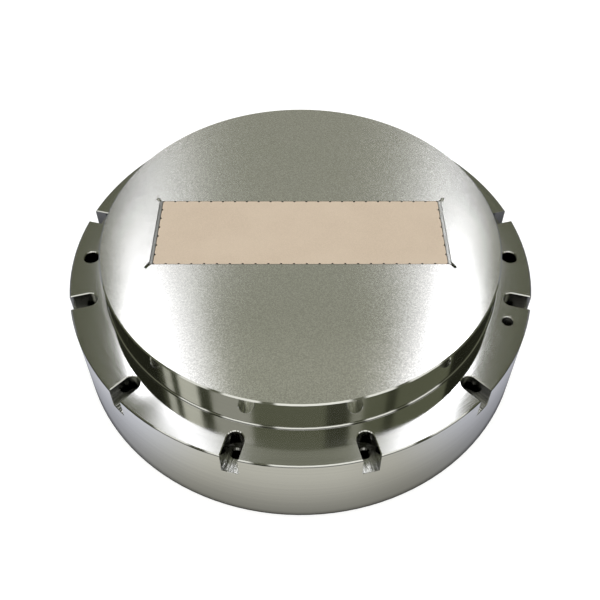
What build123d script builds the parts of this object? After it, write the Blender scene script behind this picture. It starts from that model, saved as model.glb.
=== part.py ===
from build123d import *
import os
from math import cos, radians, sin

os.makedirs("parts", exist_ok=True)

# porous vacuum chuck, millimetres
# +Z up, origin at the centre of the ground face underneath, long side of the insert along X,
# front towards -Y

# turned body
flange_dia = 380.0
flange_height = 76.0
flange_width = 29.0
table_height = 31.0
rim_chamfer = 1.2
table_chamfer = 1.0
foot_chamfer = 1.0
table_foot = 1.2

# holes on the flange, all on one circle
bolt_edge = 15.0
bolt_count = 12
slot_width = 13.0
slot_depth = 20.0
slot_edge_chamfer = 0.6
bolt_hole_dia = 6.6
bolt_spot_dia = 9.0
dowel_dia = 12.0
dowel_chamfer = 0.8
jack_core_dia = 8.5
jack_chamfer = 0.6
jack_angle = 67.5

# porous block and the strips at its ends
insert_length = 230.0
insert_width = 70.0
insert_thickness = 10.0
notch_pitch = 10.0
notch_radius = 1.1
seam = 0.3
strip_width = 2.5
strip_chamfer = 0.25

# pocket in the table
relief_dia = 3.0
corner_depth = 2.0
relief_reach = 3.2
relief_angle = 58.0
ledge_width = 5.0
channel_depth = 4.0
channel_width = 5.0
long_channel_count = 4
cross_channel_count = 10
feed_dia = 12.0

# underside
ring_width = 35.0
relief_depth = 3.0
register_dia = 80.0
register_depth = 8.0
register_chamfer = 0.8
pad_width = 24.0

# sizes that follow
flange_r = flange_dia / 2
table_r = flange_r - flange_width
top_z = flange_height + table_height
bolt_circle_r = flange_r - bolt_edge
slot_floor_z = flange_height - slot_depth
register_r = register_dia / 2
pad_r = register_r + pad_width
ring_inner_r = flange_r - ring_width
pocket_length = insert_length + 2 * strip_width + 4 * seam
pocket_width = insert_width + 2 * seam
ledge_z = top_z - insert_thickness
field_length = insert_length - 2 * ledge_width
field_width = insert_width - 2 * ledge_width
long_channel_pitch = (field_width - channel_width) / (long_channel_count - 1)
cross_channel_pitch = (field_length - channel_width) / (cross_channel_count - 1)
strip_x = insert_length / 2 + seam + strip_width / 2

# notches are spaced from the corners inwards, so the gap in the middle of a row is the odd one
long_notch_count = int(insert_length / 2 / notch_pitch) + 1
short_notch_count = int(insert_width / 2 / notch_pitch) + 1
long_notch_x = [insert_length / 2 - k * notch_pitch for k in range(long_notch_count)]
short_notch_y = [insert_width / 2 - k * notch_pitch for k in range(1, short_notch_count)]


def slot_outline(half_width):
    # one open-ended slot along +X: a round end on the bolt circle, straight sides past the rim
    with Locations((bolt_circle_r, 0)):
        Circle(half_width)
    run = flange_r + slot_width - bolt_circle_r
    with Locations((bolt_circle_r + run / 2, 0)):
        Rectangle(run, 2 * half_width)


# turned body: half section, turned about Z
with BuildPart() as chuck_body:
    with BuildSketch(Plane.XZ):
        with BuildLine():
            Polyline(
                (0, register_depth),
                (register_r, register_depth),
                (register_r, register_chamfer),
                (register_r + register_chamfer, 0),
                (pad_r, 0),
                (pad_r, relief_depth),
                (ring_inner_r, relief_depth),
                (ring_inner_r, 0),
                (flange_r - foot_chamfer, 0),
                (flange_r, foot_chamfer),
                (flange_r, flange_height - rim_chamfer),
                (flange_r - rim_chamfer, flange_height),
                (table_r + table_foot, flange_height),
                (table_r, flange_height + table_foot),
                (table_r, top_z - table_chamfer),
                (table_r - table_chamfer, top_z),
                (0, top_z),
                (0, register_depth),
            )
        make_face()
    revolve(axis=Axis.Z)

    # slots for the bolt heads, open at the rim, the first ones half a pitch either side of the front
    first_slot = -90 + 180 / bolt_count
    with BuildSketch(Plane.XY.offset(flange_height)):
        with PolarLocations(0, bolt_count, start_angle=first_slot):
            slot_outline(slot_width / 2)
    extrude(amount=-slot_depth, mode=Mode.SUBTRACT)
    with BuildSketch(Plane.XY.offset(flange_height)):
        with PolarLocations(0, bolt_count, start_angle=first_slot):
            slot_outline(slot_width / 2 + slot_edge_chamfer)
    extrude(amount=-slot_edge_chamfer, taper=45, mode=Mode.SUBTRACT)
    with Locations(Plane.XY.offset(slot_floor_z)):
        with PolarLocations(bolt_circle_r, bolt_count, start_angle=first_slot):
            CounterSinkHole(bolt_hole_dia / 2, bolt_spot_dia / 2, depth=slot_floor_z, counter_sink_angle=90)

    # reamed dowel holes at the ends of the X axis
    with Locations(Plane.XY.offset(flange_height)):
        with PolarLocations(bolt_circle_r, 2):
            CounterSinkHole(
                dowel_dia / 2, dowel_dia / 2 + dowel_chamfer, depth=flange_height, counter_sink_angle=90
            )

    # tapped jacking holes, opposite each other, beside one slot each
    with Locations(Plane.XY.offset(flange_height)):
        with PolarLocations(bolt_circle_r, 2, start_angle=jack_angle - 90):
            CounterSinkHole(
                jack_core_dia / 2, jack_core_dia / 2 + jack_chamfer, depth=flange_height, counter_sink_angle=90
            )

    # pocket for the block and its strips
    with BuildSketch(Plane.XY.offset(top_z)):
        Rectangle(pocket_length, pocket_width)
    extrude(amount=-insert_thickness, mode=Mode.SUBTRACT)

    # shallow relief running out of each corner of the pocket
    with BuildSketch(Plane.XY.offset(top_z)):
        for sx in (-1, 1):
            for sy in (-1, 1):
                corner = (sx * pocket_length / 2, sy * pocket_width / 2)
                end = (
                    corner[0] + sx * relief_reach * cos(radians(relief_angle)),
                    corner[1] + sy * relief_reach * sin(radians(relief_angle)),
                )
                SlotCenterPoint(corner, end, relief_dia)
    extrude(amount=-corner_depth, mode=Mode.SUBTRACT)

    # grid of vacuum channels in the pocket floor, inside the ledge, leaving pads that hold the block up
    with BuildSketch(Plane.XY.offset(ledge_z)):
        with GridLocations(0, long_channel_pitch, 1, long_channel_count):
            Rectangle(field_length, channel_width)
        with GridLocations(cross_channel_pitch, 0, cross_channel_count, 1):
            Rectangle(channel_width, field_width)
    extrude(amount=-channel_depth, mode=Mode.SUBTRACT)

    # feed bore from the register up to the channels
    with Locations(Plane.XY.offset(ledge_z)):
        Hole(feed_dia / 2, depth=ledge_z - register_depth)

chuck_body.part.label = "chuck_body"
export_step(chuck_body.part, "parts/chuck_body.step")

# porous block, resting on the ledge and the pads, flush with the table
with BuildPart() as porous_insert:
    with BuildSketch(Plane.XY.offset(ledge_z)):
        Rectangle(insert_length, insert_width)
        # notches with flat sides along the edges, three quarters of each corner one outside the block
        for side in (-1, 1):
            for x in long_notch_x:
                with Locations((x, side * insert_width / 2), (-x, side * insert_width / 2)):
                    RegularPolygon(notch_radius, 6, mode=Mode.SUBTRACT)
            for y in short_notch_y:
                with Locations((side * insert_length / 2, y), (side * insert_length / 2, -y)):
                    RegularPolygon(notch_radius, 6, mode=Mode.SUBTRACT)
    extrude(amount=insert_thickness)

porous_insert.part.label = "porous_insert"
export_step(porous_insert.part, "parts/porous_insert.step")


def end_strip(centre_x):
    # one strip between the block and the pocket's end wall, its long top edges lightly broken
    with BuildPart() as strip:
        with BuildSketch(Plane.XY.offset(ledge_z)):
            with Locations((centre_x, 0)):
                Rectangle(strip_width, insert_width)
        extrude(amount=insert_thickness)
        top_edges = strip.edges().group_by(Axis.Z)[-1]
        chamfer(top_edges.filter_by(Axis.Y), length=strip_chamfer)
    return strip


end_strip_left = end_strip(-strip_x)
end_strip_left.part.label = "end_strip_left"
export_step(end_strip_left.part, "parts/end_strip_left.step")

end_strip_right = end_strip(strip_x)
end_strip_right.part.label = "end_strip_right"
export_step(end_strip_right.part, "parts/end_strip_right.step")
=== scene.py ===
import bpy
import numpy as np
from math import cos, pi, radians, sin
from mathutils import Matrix, Vector


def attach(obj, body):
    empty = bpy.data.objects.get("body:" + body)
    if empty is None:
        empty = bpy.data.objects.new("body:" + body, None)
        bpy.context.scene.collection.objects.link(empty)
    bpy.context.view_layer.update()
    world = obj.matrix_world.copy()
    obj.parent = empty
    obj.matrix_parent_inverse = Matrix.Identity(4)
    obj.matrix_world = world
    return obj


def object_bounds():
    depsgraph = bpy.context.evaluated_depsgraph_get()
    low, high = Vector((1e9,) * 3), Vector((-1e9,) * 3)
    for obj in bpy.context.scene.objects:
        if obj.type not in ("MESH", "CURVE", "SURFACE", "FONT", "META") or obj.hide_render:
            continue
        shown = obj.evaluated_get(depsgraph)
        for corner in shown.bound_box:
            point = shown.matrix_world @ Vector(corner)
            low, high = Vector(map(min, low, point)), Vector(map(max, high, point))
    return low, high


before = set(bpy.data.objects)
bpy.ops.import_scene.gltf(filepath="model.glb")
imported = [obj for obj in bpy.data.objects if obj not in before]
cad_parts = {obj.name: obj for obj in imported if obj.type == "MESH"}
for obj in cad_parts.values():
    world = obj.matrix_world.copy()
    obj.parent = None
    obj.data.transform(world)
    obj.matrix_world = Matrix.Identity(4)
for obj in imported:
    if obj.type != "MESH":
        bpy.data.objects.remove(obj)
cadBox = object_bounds()
print("frame loaded:", sorted(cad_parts))

# sizes in metres, worked out from the CAD box and the part's three steps: the flange's width beyond the
# table, the table's height above the flange, and the hole circle's distance from the rim
partSteps = {"flangeWidth": 0.029, "tableHeight": 0.031, "boltEdge": 0.015}
flangeRadius, tableTop = cadBox[1][0], cadBox[1][2]
tableRadius = flangeRadius - partSteps["flangeWidth"]
flangeTop = tableTop - partSteps["tableHeight"]
holeCircle = flangeRadius - partSteps["boltEdge"]


# helpers for node trees; a value is a number, a colour or another node's output
def feed(tree, value, socket):
    # a number or colour is set on the socket itself, an output is linked to it
    if isinstance(value, (int, float)):
        socket.default_value = value
    elif isinstance(value, tuple):
        socket.default_value = (*value, 1.0)[:len(socket.default_value)]
    else:
        tree.links.new(value, socket)


def addNode(tree, kind, inputs={}, **properties):
    # one node: its plain properties set by name, then its inputs fed by name or number
    node = tree.nodes.new(kind)
    for name, value in properties.items():
        setattr(node, name, value)
    for name, value in inputs.items():
        feed(tree, value, node.inputs[name])
    return node


def mathNode(tree, operation, *values, clamp=False):
    node = addNode(tree, "ShaderNodeMath", dict(enumerate(values)), operation=operation, use_clamp=clamp)
    return node.outputs[0]


def product(tree, first, *others):
    for other in others:
        first = mathNode(tree, "MULTIPLY", first, other)
    return first


def plus(tree, first, *others):
    for other in others:
        first = mathNode(tree, "ADD", first, other)
    return first


def ramp(tree, value, low, high, lowTo=0.0, highTo=1.0):
    # lowTo up to value low, highTo from value high, an S curve between
    inputs = {"Value": value, "From Min": low, "From Max": high, "To Min": lowTo, "To Max": highTo}
    return addNode(tree, "ShaderNodeMapRange", inputs, interpolation_type="SMOOTHSTEP").outputs["Result"]


def band(tree, value, low, high, soft):
    # 1 between low and high, fading to 0 over soft at each end
    rise = ramp(tree, value, low - soft / 2, low + soft / 2)
    fall = ramp(tree, value, high - soft / 2, high + soft / 2, 1.0, 0.0)
    return product(tree, rise, fall)


def steps(tree, value, levels, soft):
    # the first level up to the second place, then a smooth step to each next level at its place
    height = levels[0][1]
    for (_, before), (place, after) in zip(levels, levels[1:]):
        height = plus(tree, ramp(tree, value, place - soft, place + soft, 0.0, after - before), height)
    return height


def mixValue(tree, factor, a, b, kind="FLOAT"):
    # a where factor is 0, b where it is 1
    inputs = {"Factor": factor, "A": a, "B": b}
    return addNode(tree, "ShaderNodeMix", inputs, data_type=kind).outputs["Result"]


def mixColour(tree, factor, a, b):
    return mixValue(tree, factor, a, b, "RGBA")


def scaled(tree, colour, factor):
    inputs = {0: colour, "Scale": factor}
    return addNode(tree, "ShaderNodeVectorMath", inputs, operation="SCALE").outputs[0]


def combine(tree, *parts):
    return addNode(tree, "ShaderNodeCombineXYZ", dict(enumerate(parts))).outputs[0]


def separate(tree, vector):
    return addNode(tree, "ShaderNodeSeparateXYZ", {0: vector}).outputs


def noise(tree, place, scale, detail, roughness):
    inputs = {"Vector": place, "Scale": scale, "Detail": detail, "Roughness": roughness}
    return addNode(tree, "ShaderNodeTexNoise", inputs).outputs["Fac"]


def streaks(tree, measures, scales, third, detail, roughness):
    # noise over two measures, stretched by a scale for each, at a third coordinate
    place = combine(tree, *(product(tree, *pair) for pair in zip(measures, scales)), third)
    return noise(tree, place, 1.0, detail, roughness)


def bump(tree, height, strength, distance):
    inputs = {"Height": height, "Strength": strength, "Distance": distance}
    return addNode(tree, "ShaderNodeBump", inputs).outputs["Normal"]


def levelness(tree):
    # 1 on level faces, 0 on upright ones
    normal = addNode(tree, "ShaderNodeNewGeometry").outputs["True Normal"]
    return mathNode(tree, "ABSOLUTE", separate(tree, normal)[2])


def objectPlace(tree):
    return addNode(tree, "ShaderNodeTexCoord").outputs["Object"]


def emptyMaterial(name):
    # a material with its output node only
    material = bpy.data.materials.new(name)
    material.use_nodes = True
    tree = material.node_tree
    tree.nodes.clear()
    return material, tree, addNode(tree, "ShaderNodeOutputMaterial").inputs["Surface"]


def newMaterial(name):
    # a material with its shader
    material, tree, surface = emptyMaterial(name)
    shader = addNode(tree, "ShaderNodeBsdfPrincipled")
    feed(tree, shader.outputs["BSDF"], surface)
    return material, tree, shader.inputs


# how the settings below are written:
# a ramp is (low, high) or (low, high, value at low, value at high), a band (low, high, softness),
# noise is (scale, detail, roughness), streaks are ((two scales), third coordinate, detail, roughness),
# steps are (place, level) pairs

# the chuck body: ground table, polished flange and sides, milled slots, bored holes; metres
bodyFinish = {
    # where each finish lies
    "flat": (0.9, 0.99),
    "tableAbove": tableTop - 0.0002,
    "slotBelow": flangeTop - 0.0007,
    "slotBeyond": tableRadius,
    "slotWithin": flangeRadius - 0.0005,
    # patterns
    "grain": (950.0, 3.0, 0.65),
    "patches": (55.0, 3.0, 0.6),
    "cloud": (9.0, 2.0, 0.5),
    "rings": ((2600.0, 1.6), 0.0, 2.0, 0.6),
    "broadRings": ((420.0, 0.7), 3.0, 2.0, 0.5),
    "marks": ((130.0, 40.0), 0.0, 0.5, 0.5),
    "rays": ((380.0, 14.0), 5.0, 2.0, 0.6),
    "raysInFront": (-0.14, -0.11, 1.0, 0.0),
    # roughness: by the rings, by Y on the flange and the table, by the grain and the patches
    "polishedRoughness": (0.35, 0.75, 0.045, 0.095),
    "flangeRoughness": (-0.168, -0.142, 0.1, 0.045),
    "ringRoughness": (0.35, 0.75, -0.008, 0.008),
    "groundRoughness": (-0.11, 0.0, 0.125, 0.195),
    "grainRoughness": (0.35, 0.65, -0.012, 0.012),
    "patchRoughness": (0.3, 0.7, -0.008, 0.008),
    "milledRoughness": 0.22,
    "boreRoughness": 0.11,
    "flangeLay": 0.9,
    "groundLay": 1.0,
    "groundSpread": (0.0, 1.0, 0.0),
    # colours and tones
    "steel": ((0.63, 0.63, 0.6), (0.6, 0.6, 0.575)),
    "ringTone": (0.3, 0.7),
    "groundSteel": ((0.6, 0.6, 0.565), (0.61, 0.605, 0.575)),
    "cloudTone": (0.35, 0.65),
    "grainTone": (0.36, 0.66, 0.88, 1.11),
    # painted light on the table: a painted highlight on its ends in front and along its front edge, painted
    # shade on its ends behind
    "ends": (0.112, 0.155),
    "paintedEndSheen": (-0.02, 0.055, 0.27, -0.25),
    "paintedFrontHighlight": (-0.15, -0.08, 0.15, 0.0),
    # painted shade in the bores and slots, and a painted highlight on the slots' floors towards the rim,
    # streaked by the cutter marks
    "cutShade": 0.4,
    "floorShade": (0.174, 0.181, 0.35, 1.6),
    "markShade": (0.38, 0.62, 0.75, 1.0),
    # painted shade lines: at the table's foot, under the rim's edge and at the bottom edge
    "foot": (flangeTop + 0.00003, flangeTop + 0.00065, 0.00005),
    "footWithin": tableRadius + 0.0015,
    "rimEdge": (flangeTop - 0.0012, flangeTop - 0.0007, 0.00005),
    "bottomEdge": (0.0016, 0.0028, 1.0, 0.0),
    "edgeBeyond": flangeRadius - 0.0008,
    "paintedLineShade": 0.25,
    # bump: share of each pattern, then strength and distance
    "ringBump": 0.1,
    "rayBump": 0.3,
    "grainBump": 0.08,
    "markBump": 28.0,
    "bump": (0.35, 0.00003),
}


def bodyMaterial(finish):
    material, tree, shader = newMaterial("turnedSteel")
    feed(tree, 1.0, shader["Metallic"])
    place = objectPlace(tree)
    x, y, z = separate(tree, place)
    radius = mathNode(tree, "SQRT", plus(tree, product(tree, x, x), product(tree, y, y)))
    angle = mathNode(tree, "ARCTAN2", y, x)
    # where each finish lies
    flat = ramp(tree, levelness(tree), *finish["flat"])
    ground = product(tree, mathNode(tree, "GREATER_THAN", z, finish["tableAbove"]), flat)
    low = mathNode(tree, "LESS_THAN", z, finish["slotBelow"])
    inside = mathNode(tree, "LESS_THAN", radius, finish["slotWithin"])
    cut = product(tree, low, inside, mathNode(tree, "GREATER_THAN", radius, finish["slotBeyond"]))
    milled = product(tree, cut, flat)
    # grain, patches and cloud on the ground table, rings left by turning, cutter marks along the slots'
    # floors, fine rays on the flange
    grain = noise(tree, place, *finish["grain"])
    patches = noise(tree, place, *finish["patches"])
    cloud = noise(tree, place, *finish["cloud"])
    across = plus(tree, radius, z)
    rings = streaks(tree, (across, angle), *finish["rings"])
    broadRings = streaks(tree, (across, angle), *finish["broadRings"])
    marks = streaks(tree, (angle, radius), *finish["marks"])
    rays = streaks(tree, (angle, radius), *finish["rays"])
    # roughness
    polished = ramp(tree, rings, *finish["polishedRoughness"])
    turned = plus(
        tree, ramp(tree, y, *finish["flangeRoughness"]), ramp(tree, rings, *finish["ringRoughness"])
    )
    groundRough = plus(
        tree, ramp(tree, y, *finish["groundRoughness"]),
        ramp(tree, grain, *finish["grainRoughness"]), ramp(tree, patches, *finish["patchRoughness"]),
    )
    rough = mixValue(tree, flat, polished, turned)
    rough = mixValue(tree, cut, rough, finish["boreRoughness"])
    rough = mixValue(tree, milled, rough, finish["milledRoughness"])
    feed(tree, mixValue(tree, ground, rough, groundRough), shader["Roughness"])
    # flat faces spread reflections across their cutter lines: the flange is turned and spreads them
    # outwards, a slot's floor is milled along its length, and the table is ground along X
    outwards = combine(tree, x, y, 0.0)
    sideways = combine(tree, product(tree, y, -1.0), x, 0.0)
    spread = mixColour(tree, ground, mixColour(tree, milled, outwards, sideways), finish["groundSpread"])
    lay = addNode(
        tree, "ShaderNodeVectorTransform", {0: spread},
        vector_type="VECTOR", convert_from="OBJECT", convert_to="WORLD",
    )
    feed(tree, lay.outputs[0], shader["Tangent"])
    layShare = product(tree, flat, mixValue(tree, ground, finish["flangeLay"], finish["groundLay"]))
    feed(tree, layShare, shader["Anisotropic"])
    # tone: the table has its grain; painted highlight on its ends in front and along its front edge, painted
    # shade on its ends behind
    ends = ramp(tree, mathNode(tree, "ABSOLUTE", x), *finish["ends"])
    ends = product(tree, ends, ramp(tree, y, *finish["paintedEndSheen"]))
    paintedSheen = plus(tree, ends, ramp(tree, y, *finish["paintedFrontHighlight"]), 1.0)
    speckAndSheen = product(tree, ramp(tree, grain, *finish["grainTone"]), paintedSheen)
    steelTone = mixColour(tree, ramp(tree, broadRings, *finish["ringTone"]), *finish["steel"])
    groundTone = mixColour(tree, ramp(tree, cloud, *finish["cloudTone"]), *finish["groundSteel"])
    tone = mixColour(tree, ground, steelTone, scaled(tree, groundTone, speckAndSheen))
    # painted shade: bores and slots are darker, the slots' floors get a painted highlight towards the rim,
    # three lines darker still
    floorShade = product(
        tree, ramp(tree, radius, *finish["floorShade"]), ramp(tree, marks, *finish["markShade"])
    )
    shade = mixValue(tree, cut, 1.0, finish["cutShade"])
    shade = mixValue(tree, milled, shade, floorShade)
    foot = product(
        tree, band(tree, z, *finish["foot"]), mathNode(tree, "LESS_THAN", radius, finish["footWithin"])
    )
    edge = plus(tree, band(tree, z, *finish["rimEdge"]), ramp(tree, z, *finish["bottomEdge"]))
    edge = product(tree, edge, mathNode(tree, "GREATER_THAN", radius, finish["edgeBeyond"]))
    # the three lines of painted shade, darkening the base colour
    paintedShadeLines = mathNode(tree, "ADD", foot, edge, clamp=True)
    shade = mixValue(tree, paintedShadeLines, shade, finish["paintedLineShade"])
    feed(tree, scaled(tree, tone, shade), shader["Base Color"])
    # bump: grain on the table, marks in the slots, rings on the rest, with rays on the flange's front
    frontRays = product(tree, rays, ramp(tree, y, *finish["raysInFront"]), flat, finish["rayBump"])
    fine = plus(tree, product(tree, rings, finish["ringBump"]), frontRays)
    fine = mixValue(tree, ground, fine, product(tree, grain, finish["grainBump"]))
    fine = mixValue(tree, milled, fine, product(tree, marks, finish["markBump"]))
    feed(tree, bump(tree, fine, *finish["bump"]), shader["Normal"])
    return material


# the porous block: matt, pinkish beige, fine pores, its flanks painted dark, painted shade as seen through
# the notches
porousFinish = {
    "grain": (1800.0, 3.0, 0.7),
    "cloud": (30.0, 3.0, 0.55),
    "poreScale": 1400.0,
    "poreDepth": (0.05, 0.45),
    "dark": (0.505, 0.41, 0.32),
    "colour": (0.61, 0.5, 0.4),
    "grainTone": (0.3, 0.72),
    "light": (0.63, 0.525, 0.42),
    "cloudTone": (0.3, 0.7),
    "cloudShare": 0.35,
    "poreTone": (0.0, 1.0, 0.18, 0.0),
    "flank": (0.4, 0.6, 1.0, 0.0),
    "flankPaintedShade": (0.02, 0.015, 0.012),
    "roughness": 0.74,
    "grainRoughness": 0.16,
    "specular": 0.35,
    "grainBump": 0.6,
    "poreBump": 0.4,
    "bump": (0.5, 0.00006),
}


def porousMaterial(finish):
    material, tree, shader = newMaterial("porousCeramic")
    place = objectPlace(tree)
    grain = noise(tree, place, *finish["grain"])
    cloud = noise(tree, place, *finish["cloud"])
    pores = addNode(
        tree, "ShaderNodeTexVoronoi", {"Vector": place, "Scale": finish["poreScale"]}, feature="F1"
    )
    pit = ramp(tree, pores.outputs["Distance"], *finish["poreDepth"])
    cloudFactor = product(tree, ramp(tree, cloud, *finish["cloudTone"]), finish["cloudShare"])
    tone = mixColour(tree, ramp(tree, grain, *finish["grainTone"]), finish["dark"], finish["colour"])
    tone = mixColour(tree, cloudFactor, tone, finish["light"])
    tone = mixColour(tree, ramp(tree, pit, *finish["poreTone"]), tone, finish["dark"])
    # painted shade: the upright flanks are painted near black
    flank = ramp(tree, levelness(tree), *finish["flank"])
    feed(tree, mixColour(tree, flank, tone, finish["flankPaintedShade"]), shader["Base Color"])
    rough = plus(tree, product(tree, grain, finish["grainRoughness"]), finish["roughness"])
    feed(tree, rough, shader["Roughness"])
    feed(tree, finish["specular"], shader["Specular IOR Level"])
    height = plus(tree, product(tree, grain, finish["grainBump"]), product(tree, pit, finish["poreBump"]))
    feed(tree, bump(tree, height, *finish["bump"]), shader["Normal"])
    return material


# steel ground along its length: the strips at the block's ends, and the threads
groundLines = {
    "scales": (5000.0, 90.0),
    "noise": (2.0, 0.6),
    "tone": (0.3, 0.7),
    "bump": (0.3, 0.00003),
}
stripFinish = {"shade": (0.33, 0.33, 0.32), "steel": (0.46, 0.46, 0.45), "roughness": (0.25, 0.38)}
# the right strip: a lighter copy of the same ground steel, painted light where it faces the lamps
litStripFinish = {"shade": (0.72, 0.72, 0.71), "steel": (0.88, 0.88, 0.87), "roughness": (0.25, 0.38)}
# the threads: the same ground steel darkened, painted shade inside the jacking holes
shadedThreadFinish = {"shade": (0.08, 0.08, 0.075), "steel": (0.15, 0.15, 0.145), "roughness": (0.2, 0.33)}


def stripMaterial(finish):
    material, tree, shader = newMaterial("groundStrip")
    feed(tree, 1.0, shader["Metallic"])
    x, y, z = separate(tree, objectPlace(tree))
    lines = streaks(tree, (x, y), groundLines["scales"], z, *groundLines["noise"])
    feed(tree, mixColour(tree, lines, finish["shade"], finish["steel"]), shader["Base Color"])
    feed(tree, ramp(tree, lines, *groundLines["tone"], *finish["roughness"]), shader["Roughness"])
    feed(tree, bump(tree, lines, *groundLines["bump"]), shader["Normal"])
    return material


# the turned faces: their triangles joined within a distance and shaded smooth, edges past an angle sharp
smoothing = {"join": 0.000002, "sharpFrom": 20.0}


def smoothWalls(settings):
    group = bpy.data.node_groups.new("smoothTurnedFaces", "GeometryNodeTree")
    for side in ("INPUT", "OUTPUT"):
        group.interface.new_socket("Geometry", in_out=side, socket_type="NodeSocketGeometry")
    start = addNode(group, "NodeGroupInput")
    merge = addNode(
        group, "GeometryNodeMergeByDistance", {"Geometry": start.outputs[0], "Distance": settings["join"]}
    )
    angle = addNode(group, "GeometryNodeInputMeshEdgeAngle").outputs["Unsigned Angle"]
    sharp = addNode(
        group, "FunctionNodeCompare", {"A": angle, "B": radians(settings["sharpFrom"])},
        data_type="FLOAT", operation="GREATER_THAN",
    )
    faces = addNode(
        group, "GeometryNodeSetShadeSmooth", {"Geometry": merge.outputs["Geometry"]}, domain="FACE"
    )
    creases = addNode(
        group, "GeometryNodeSetShadeSmooth",
        {"Geometry": faces.outputs["Geometry"], "Selection": sharp.outputs["Result"], "Shade Smooth": False},
        domain="EDGE",
    )
    addNode(group, "NodeGroupOutput", {0: creases.outputs["Geometry"]})
    return group


finishes = {
    "chuck_body": bodyMaterial(bodyFinish),
    "porous_insert": porousMaterial(porousFinish),
    "end_strip_left": stripMaterial(stripFinish),
    # the right strip gets the lighter copy: painted light
    "end_strip_right": stripMaterial(litStripFinish),
}
for name, material in finishes.items():
    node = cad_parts[name]
    for slotItem in node.material_slots:
        slotItem.material = material
    if not node.material_slots:
        node.data.materials.append(material)
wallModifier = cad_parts["chuck_body"].modifiers.new("smoothWalls", "NODES")
wallModifier.node_group = smoothWalls(smoothing)
print("finishes on:", len(finishes), "nodes")


# threads in the jacking holes: a thin sleeve in each, with a helical ridge on its inside
jackingThread = {
    "circle": holeCircle,
    "angles": {"right": -22.5, "left": 157.5},
    "pitch": 0.0015,
    "turns": 16,
    "top": flangeTop - 0.0008,
    "outer": 0.00418,
    "root": 0.00412,
    "ridge": 0.00042,
    "around": 64,
    "perTurn": 12,
}


def threadSleeve(name, degrees, settings):
    # inside radius = root - ridge * fade * (1 + cos(2 pi height / pitch - angle)) / 2, where fade rises
    # from 0 at each end to 1 over one pitch; the outside is a plain cylinder of radius outer
    around = settings["around"]
    angle = np.linspace(0.0, 2.0 * pi, around, endpoint=False)
    length = settings["turns"] * settings["pitch"]
    height = np.linspace(0.0, length, settings["turns"] * settings["perTurn"] + 1)
    phase = 2.0 * pi * height[:, None] / settings["pitch"] - angle[None, :]
    fade = np.minimum(1.0, np.minimum(height, length - height) / settings["pitch"])[:, None]
    inside = settings["root"] - settings["ridge"] * fade * (1.0 + np.cos(phase)) / 2.0
    radii = np.vstack((inside, np.full((2, around), settings["outer"])))
    levels = np.concatenate((height, (length, 0.0))) + settings["top"] - length
    turn = radians(degrees)
    points = np.empty((len(levels), around, 3))
    points[..., 0] = settings["circle"] * cos(turn) + radii * np.cos(angle)
    points[..., 1] = settings["circle"] * sin(turn) + radii * np.sin(angle)
    points[..., 2] = levels[:, None]
    # four-sided faces between each ring and the next, the last ring joined to the first
    rows = np.arange(len(levels))[:, None] * around
    nextRows = np.roll(rows, -1, axis=0)
    columns = np.arange(around)[None, :]
    nextColumns = np.roll(columns, -1, axis=1)
    corners = (rows + columns, nextRows + columns, nextRows + nextColumns, rows + nextColumns)
    mesh = bpy.data.meshes.new(name)
    mesh.from_pydata(points.reshape(-1, 3).tolist(), [], np.stack(corners, axis=-1).reshape(-1, 4).tolist())
    mesh.polygons.foreach_set("use_smooth", np.ones(len(mesh.polygons), dtype=bool))
    # its darkened steel is painted shade inside the hole
    mesh.materials.append(stripMaterial(shadedThreadFinish))
    piece = bpy.data.objects.new(name, mesh)
    bpy.context.scene.collection.objects.link(piece)
    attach(piece, "root")


for side, degrees in jackingThread["angles"].items():
    threadSleeve("jackingThread_" + side, degrees, jackingThread)
print("threads cut:", len(jackingThread["angles"]))


# floor: a pale sheet that reads as white to the camera and keeps the shadow; in the steel it is a painted
# reflection, grey, with painted shade near the chuck, darker behind its widest place and to the right,
# brighter and cooler at both sides
floorSettings = {
    "half": 6.0,
    "height": -0.0004,
    "albedo": 0.45,
    "lift": 0.74,
    "mirrorNear": (0.178, 0.226, 0.19, 0.68),
    "mirrorFar": (0.5, 1.5, 1.0, 1.5),
    "mirrorFoot": (0.1895, 0.1935, 0.25, 1.0),
    "mirrorSides": (0.06, 0.17, 1.0, 1.22),
    "mirrorRight": (0.03, 0.11, 1.0, 0.84),
    "mirrorBehind": (-0.02, 0.02, 1.0, 0.3),
    "warm": (1.0, 0.985, 0.89),
    "cool": (0.96, 0.98, 1.08),
    "coolFrom": (0.08, 0.17),
}


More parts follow.
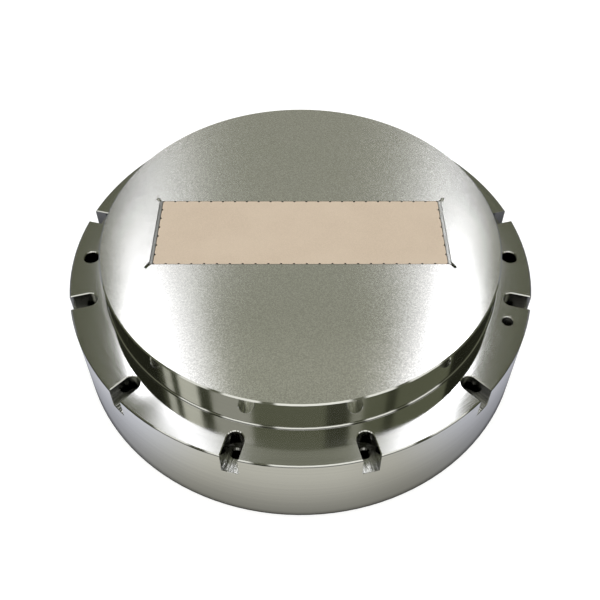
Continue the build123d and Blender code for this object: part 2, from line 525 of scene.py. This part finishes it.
def makeFloor(settings):
    # a flat square sheet just under the chuck: X and Y from -half to half, Z at height
    half, z, albedo = settings["half"], settings["height"], settings["albedo"]
    mesh = bpy.data.meshes.new("floor")
    corners = [(-half, -half, z), (half, -half, z), (half, half, z), (-half, half, z)]
    mesh.from_pydata(corners, [], [(0, 1, 2, 3)])
    floor = bpy.data.objects.new("floor", mesh)
    bpy.context.scene.collection.objects.link(floor)
    material, tree, surface = emptyMaterial("paleFloor")
    path = addNode(tree, "ShaderNodeLightPath").outputs
    place = objectPlace(tree)
    x, y, _ = separate(tree, place)
    away = addNode(tree, "ShaderNodeVectorMath", {0: place}, operation="LENGTH").outputs["Value"]
    width = mathNode(tree, "ABSOLUTE", x)
    # the level the steel sees: a painted reflection glow, with painted shade near the chuck's foot
    level = product(
        tree,
        ramp(tree, away, *settings["mirrorNear"]),
        ramp(tree, away, *settings["mirrorFar"]),
        ramp(tree, away, *settings["mirrorFoot"]),
        ramp(tree, width, *settings["mirrorSides"]),
        ramp(tree, x, *settings["mirrorRight"]),
        ramp(tree, y, *settings["mirrorBehind"]),
    )
    mirrored = path["Is Glossy Ray"]
    matt = mixColour(tree, mirrored, (albedo, albedo, albedo), (0.0, 0.0, 0.0))
    tint = mixColour(tree, ramp(tree, width, *settings["coolFrom"]), settings["warm"], settings["cool"])
    seen = product(tree, path["Is Camera Ray"], settings["lift"])
    glow = {
        "Color": mixColour(tree, mirrored, (1.0, 1.0, 1.0), tint),
        "Strength": mixValue(tree, mirrored, seen, level),
    }
    shaders = {
        0: addNode(tree, "ShaderNodeBsdfDiffuse", {"Color": matt}).outputs[0],
        1: addNode(tree, "ShaderNodeEmission", glow).outputs[0],
    }
    feed(tree, addNode(tree, "ShaderNodeAddShader", shaders).outputs[0], surface)
    mesh.materials.append(material)


makeFloor(floorSettings)

# studio: an olive grey room, tall lamps behind the chuck and reflectors on the camera's side
# all places are in degrees: azimuth from +Y towards +X, the reflectors' from -Y towards +X, elevation up
# a panel is its two azimuths, its two elevations, the softness of its sides and its level
studio = {
    "room": (0.15, 0.155, 0.11),
    "backWall": (0.393, 0.398, 0.328),
    "backWallPlace": (-12.5, 12.5, 20.0, 61.6, 3.0),
    "ceiling": (0.9, 0.9, 0.88),
    "ceilingFrom": (66.0, 74.0),
    # panels in front, for the flange's side, with the share of blue in their light
    "panels": [
        (112.0, 128.0, 12.0, 46.0, 3.0, 1.1),
        (135.0, 149.0, 12.0, 46.0, 3.0, 1.2),
        (156.0, 181.0, 12.0, 46.0, 3.0, 1.25),
        (-181.0, -168.0, 12.0, 46.0, 3.0, 1.25),
        (-161.0, -143.0, 12.0, 46.0, 3.0, 1.2),
        (-136.0, -122.0, 12.0, 46.0, 3.0, 1.1),
    ],
    "panelBlue": 0.95,
    "panelSoft": 3.0,
    # a dim patch beside the right lamp, for the flange's right side
    "glow": (20.2, 22.0, 56.6, 62.0, 1.0, 0.6),
    # reflectors, seen in the table's wall: steps round the camera's side, tinted by level; three bright
    # ones on the left, a dim one in front, one bright and two dim ones on the right
    "reflectors": [
        (-180.0, 0.03), (-96.0, 0.08), (-91.0, 0.8), (-85.0, 0.08), (-80.0, 1.0), (-66.0, 0.08), (-57.0, 0.6),
        (-31.0, 0.2), (16.0, 0.08), (32.0, 0.45), (40.0, 0.2), (55.0, 0.08), (62.0, 0.2), (103.0, 0.03),
    ],
    "reflectorSoft": 1.2,
    "reflectorPlace": (46.5, 66.0, 3.0),
    "reflectorFront": (24.0, 30.0),
    "reflectorTints": ((0.97, 1.03, 0.66), (1.0, 1.0, 0.9)),
    "reflectorTintFrom": (0.08, 0.6),
    # lamps: steps across both; their lower edge climbs outwards, from an azimuth by a slope (lampFoot);
    # above it they rise from start over a knee to full, with a share of their level at the knee
    "lamps": [
        (-180.0, 0.0), (-20.8, 0.4), (-19.5, 0.9), (-18.8, 1.3), (-18.2, 1.8), (-17.6, 3.3), (-15.6, 2.15),
        (-14.6, 1.58), (-13.6, 1.18), (-12.6, 0.84), (-11.7, 0.46), (-10.6, 0.1), (-9.6, 0.0),
        (10.4, 0.2), (11.7, 0.62), (12.8, 0.95), (13.8, 1.3), (14.8, 1.9), (15.6, 3.6),
        (19.8, 2.2), (20.5, 1.0), (20.9, 0.0),
    ],
    "lampSoft": 0.5,
    "lampFoot": (12.0, 0.95),
    "lampRise": (37.2, 41.0, 46.0, 0.34),
    "lampTop": (68.5, 71.5, 1.0, 0.0),
    "lampTint": (0.99, 0.99, 1.07),
    # their inner edges lean outwards with elevation, and stand upright again where the flange sees them
    "lampSlant": (50.0, 57.0, 0.0, 0.12),
    "lampUpright": (58.6, 60.2, 1.0, 0.0),
    "lampInner": (15.5, 18.0, 1.0, 0.0),
    # wings: brighter strips at the lamps' outer edges
    "wings": [(-180.0, 0.0), (-21.2, 6.0), (-17.9, 0.0), (18.3, 7.0), (20.8, 0.0)],
    "wingPlace": (44.5, 56.0, 2.0),
}
degreesPerRadian = 57.2958


def makeWorld(settings):
    world = bpy.data.worlds.new("studio")
    bpy.context.scene.world = world
    world.use_nodes = True
    tree = world.node_tree
    tree.nodes.clear()
    x, y, z = separate(tree, addNode(tree, "ShaderNodeTexCoord").outputs["Generated"])
    azimuth = product(tree, mathNode(tree, "ARCTAN2", x, y), degreesPerRadian)
    elevation = product(tree, mathNode(tree, "ARCSINE", z), degreesPerRadian)
    sideways = mathNode(tree, "ABSOLUTE", azimuth)

    def panel(left, right, bottom, top, edge):
        across = band(tree, azimuth, left, right, edge)
        return product(tree, across, band(tree, elevation, bottom, top, settings["panelSoft"]))

    tone = mixColour(tree, panel(*settings["backWallPlace"]), settings["room"], settings["backWall"])
    tone = mixColour(tree, ramp(tree, elevation, *settings["ceilingFrom"]), tone, settings["ceiling"])
    for *place, level in settings["panels"]:
        tone = mixColour(tree, panel(*place), tone, (level, level, level * settings["panelBlue"]))
    # the reflectors
    behind = product(tree, y, -1.0)
    fromCamera = product(tree, mathNode(tree, "ARCTAN2", x, behind), degreesPerRadian)
    reflected = steps(tree, fromCamera, settings["reflectors"], settings["reflectorSoft"])
    tintFactor = ramp(tree, reflected, *settings["reflectorTintFrom"])
    tint = mixColour(tree, tintFactor, *settings["reflectorTints"])
    facing = product(
        tree, band(tree, elevation, *settings["reflectorPlace"]),
        ramp(tree, sideways, *settings["reflectorFront"]),
    )
    tone = mixColour(tree, facing, tone, scaled(tree, tint, reflected))
    *place, level = settings["glow"]
    tone = mixColour(tree, panel(*place), tone, (level, level, level))
    # the lamps
    beyond, climb = settings["lampFoot"]
    outward = mathNode(tree, "MAXIMUM", mathNode(tree, "SUBTRACT", sideways, beyond), 0.0)
    above = mathNode(tree, "SUBTRACT", elevation, product(tree, outward, climb))
    start, knee, full, share = settings["lampRise"]
    rise = plus(
        tree, ramp(tree, above, start, knee, 0.0, share), ramp(tree, above, knee, full, 0.0, 1.0 - share)
    )
    lean = product(
        tree, ramp(tree, elevation, *settings["lampSlant"]),
        ramp(tree, elevation, *settings["lampUpright"]), ramp(tree, sideways, *settings["lampInner"]),
    )
    leaning = product(tree, azimuth, mathNode(tree, "SUBTRACT", 1.0, lean))
    wings = product(
        tree, steps(tree, azimuth, settings["wings"], settings["lampSoft"]),
        band(tree, elevation, *settings["wingPlace"]),
    )
    profile = plus(tree, steps(tree, leaning, settings["lamps"], settings["lampSoft"]), wings)
    lampLevel = product(tree, profile, rise, ramp(tree, elevation, *settings["lampTop"]))
    lit = addNode(
        tree, "ShaderNodeVectorMath", {0: lampLevel, 1: settings["lampTint"], 2: tone},
        operation="MULTIPLY_ADD",
    )
    # the camera itself sees plain white
    seen = addNode(tree, "ShaderNodeLightPath").outputs["Is Camera Ray"]
    colour = mixColour(tree, seen, lit.outputs[0], (1.0, 1.0, 1.0))
    background = addNode(tree, "ShaderNodeBackground", {"Color": colour})
    addNode(tree, "ShaderNodeOutputWorld", {"Surface": background.outputs[0]})


makeWorld(studio)

# one wide soft lamp overhead for the matt surfaces and the floor
overhead = {"size": 2.4, "power": 24.0, "place": (0.0, 0.2, 1.6)}


def makeOverhead(settings):
    data = bpy.data.lights.new("overhead", "AREA")
    data.shape = "DISK"
    data.size = settings["size"]
    data.energy = settings["power"]
    lamp = bpy.data.objects.new("overhead", data)
    lamp.location = settings["place"]
    lamp.visible_glossy = False
    bpy.context.scene.collection.objects.link(lamp)


makeOverhead(overhead)
print("floor, room and lamp placed")

# camera, fitted to the circles of the table, the flange and the holes
# its distance is in flange radii, its focal length and offset in pixels of the frame, the rest in degrees
view = {
    "distance": 3.762125,
    "elevation": 52.2388,
    "aim": 5.3144,
    "roll": 0.02,
    "focalPixels": 782.7275,
    "offset": (0.4033, -60.0),
    "pixels": 600,
    "sensor": 36.0,
    "clip": (0.01, 50.0),
}


def makeCamera(settings):
    up = radians(settings["elevation"])
    reach = flangeRadius * settings["distance"]
    place = Vector((0.0, -reach * cos(up), reach * sin(up)))
    # aimed at the origin, tilted up by aim, then rolled
    right = Vector((1.0, 0.0, 0.0))
    inward = Vector((0.0, cos(up), -sin(up)))
    tilt = radians(settings["aim"])
    forward = inward * cos(tilt) + right.cross(inward) * sin(tilt)
    right = Matrix.Rotation(radians(settings["roll"]), 3, forward) @ right
    basis = Matrix((right, right.cross(forward), -forward)).transposed().to_4x4()
    data = bpy.data.cameras.new("camera")
    data.sensor_width = settings["sensor"]
    data.lens = settings["focalPixels"] / settings["pixels"] * settings["sensor"]
    data.shift_x = -settings["offset"][0] / settings["pixels"]
    data.shift_y = settings["offset"][1] / settings["pixels"]
    data.clip_start, data.clip_end = settings["clip"]
    camera = bpy.data.objects.new("camera", data)
    camera.matrix_world = Matrix.Translation(place) @ basis
    bpy.context.scene.collection.objects.link(camera)
    bpy.context.scene.camera = camera


makeCamera(view)
bpy.context.scene.view_settings.view_transform = "Standard"
